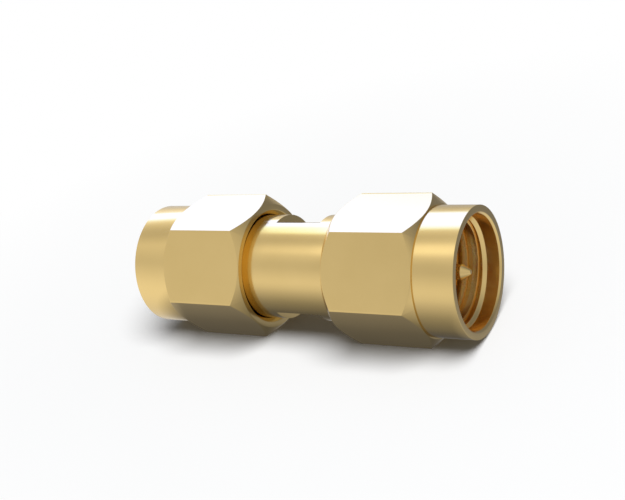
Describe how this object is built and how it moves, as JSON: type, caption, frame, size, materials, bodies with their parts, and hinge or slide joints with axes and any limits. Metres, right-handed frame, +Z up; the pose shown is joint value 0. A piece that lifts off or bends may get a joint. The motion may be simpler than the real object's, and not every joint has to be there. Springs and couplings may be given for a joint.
{
  "type": "coaxial plug-to-plug adapter",
  "caption": "Straight coaxial adapter: a turned body with a pin contact and a captive hexagonal coupling nut at each end, gold plated.",
  "frame": {"origin": "middle of the adapter, on its axis", "axes": "+X along the adapter's axis, towards the mouth that faces the viewer in the picture; +Z up, with a flat of each hexagon facing down"},
  "size_m": [0.0224, 0.0092, 0.008],
  "materials": {
    "gold_plate": "satin gold plating on machined brass",
    "contact_gold": "gold plating on beryllium copper",
    "spring_bronze": "plain phosphor bronze spring",
    "dielectric": "machined fluoropolymer, off-white",
    "gasket_rubber": "matt silicone rubber, brick red"
  },
  "bodies": {
    "adapter": {"adapter_body": "gold_plate", "centre_contact": "contact_gold", "insulator_right": "dielectric", "insulator_left": "dielectric", "gasket_right": "gasket_rubber", "gasket_left": "gasket_rubber"},
    "ring_right": {"retaining_ring_right": "spring_bronze"},
    "nut_right": {"coupling_nut_right": "gold_plate"},
    "ring_left": {"retaining_ring_left": "spring_bronze"},
    "nut_left": {"coupling_nut_left": "gold_plate"}
  },
  "joints": [
    {"name": "nut_right_end_play", "type": "slide", "parent": "adapter", "child": "ring_right", "axis": [1, 0, 0], "range_m": [-0.0001, 0.0001]},
    {"name": "nut_right_spin", "type": "hinge", "parent": "ring_right", "child": "nut_right", "pos_m": [0.0046, 0, 0], "axis": [1, 0, 0], "continuous": true},
    {"name": "nut_left_end_play", "type": "slide", "parent": "adapter", "child": "ring_left", "axis": [-1, 0, 0], "range_m": [-0.0001, 0.0001]},
    {"name": "nut_left_spin", "type": "hinge", "parent": "ring_left", "child": "nut_left", "pos_m": [-0.0046, 0, 0], "axis": [-1, 0, 0], "continuous": true}
  ]
}
